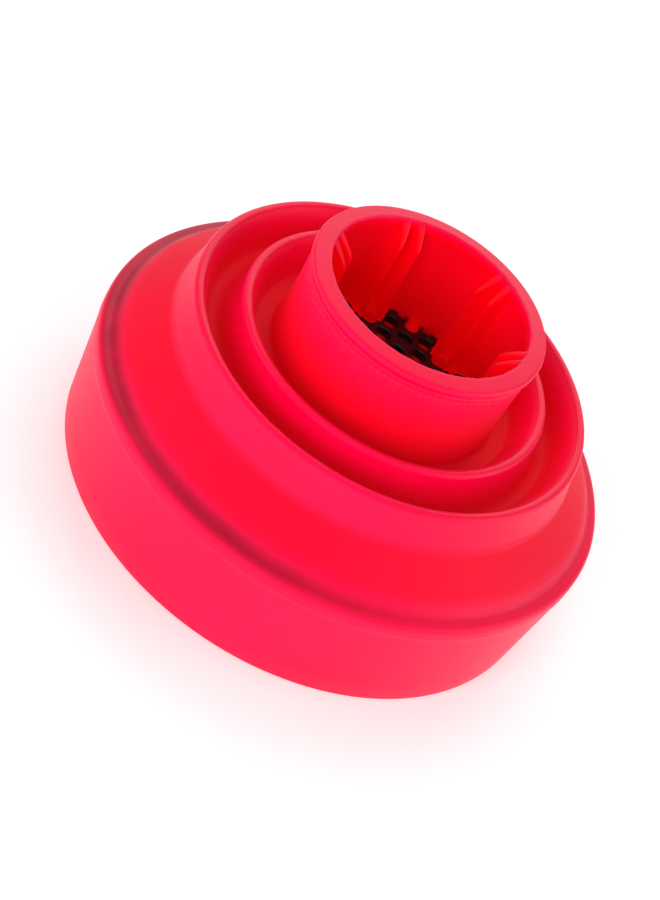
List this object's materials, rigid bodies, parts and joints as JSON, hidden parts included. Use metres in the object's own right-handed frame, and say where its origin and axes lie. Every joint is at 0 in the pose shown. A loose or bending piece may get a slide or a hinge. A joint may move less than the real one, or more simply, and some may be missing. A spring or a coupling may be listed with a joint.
{
  "type": "hair dryer diffuser",
  "caption": "Collapsible silicone hair-dryer diffuser: a gripping collar rises on rolling folds above a wide bowl that holds a perforated plate with hollow fingers.",
  "frame": {"origin": "centre of the front rim, on the surface that the rim stands on", "axes": "+Z along the air path towards the dryer; +Y through a notched lug of the grille"},
  "size_m": [0.13, 0.13, 0.0705],
  "materials": {
    "red_silicone": "satin moulded silicone",
    "grille_plastic": "glossy moulded nylon",
    "finger_plastic": "satin moulded nylon"
  },
  "bodies": {
    "bowl": {"bowl_skirt": "red_silicone", "shoulder_cone": "red_silicone", "outer_fold_ring": "red_silicone", "fold_web": "red_silicone", "plate_seat_lip": "red_silicone", "finger_plate": "finger_plastic", "centre_finger": "finger_plastic", "inner_fingers": "finger_plastic", "middle_fingers": "finger_plastic", "outer_fingers": "finger_plastic"},
    "inner_fold": {"inner_fold_ring": "red_silicone", "collar_web": "red_silicone"},
    "collar": {"collar_sleeve": "red_silicone", "grip_fin_pair_1": "red_silicone", "grip_fin_pair_2": "red_silicone", "grip_fin_pair_3": "red_silicone", "grip_fin_pair_4": "red_silicone", "grip_fin_pair_5": "red_silicone", "grip_fin_pair_6": "red_silicone", "collar_keys": "red_silicone", "grille_seat": "red_silicone", "throat_grille": "grille_plastic"}
  },
  "joints": [
    {"name": "inner_fold_rise", "type": "slide", "parent": "bowl", "child": "inner_fold", "axis": [0, 0, 1], "range_m": [0, 0.0172], "deforming": ["fold_web"]},
    {"name": "collar_rise", "type": "slide", "parent": "inner_fold", "child": "collar", "axis": [0, 0, 1], "range_m": [0, 0.0166], "deforming": ["collar_web"]}
  ]
}
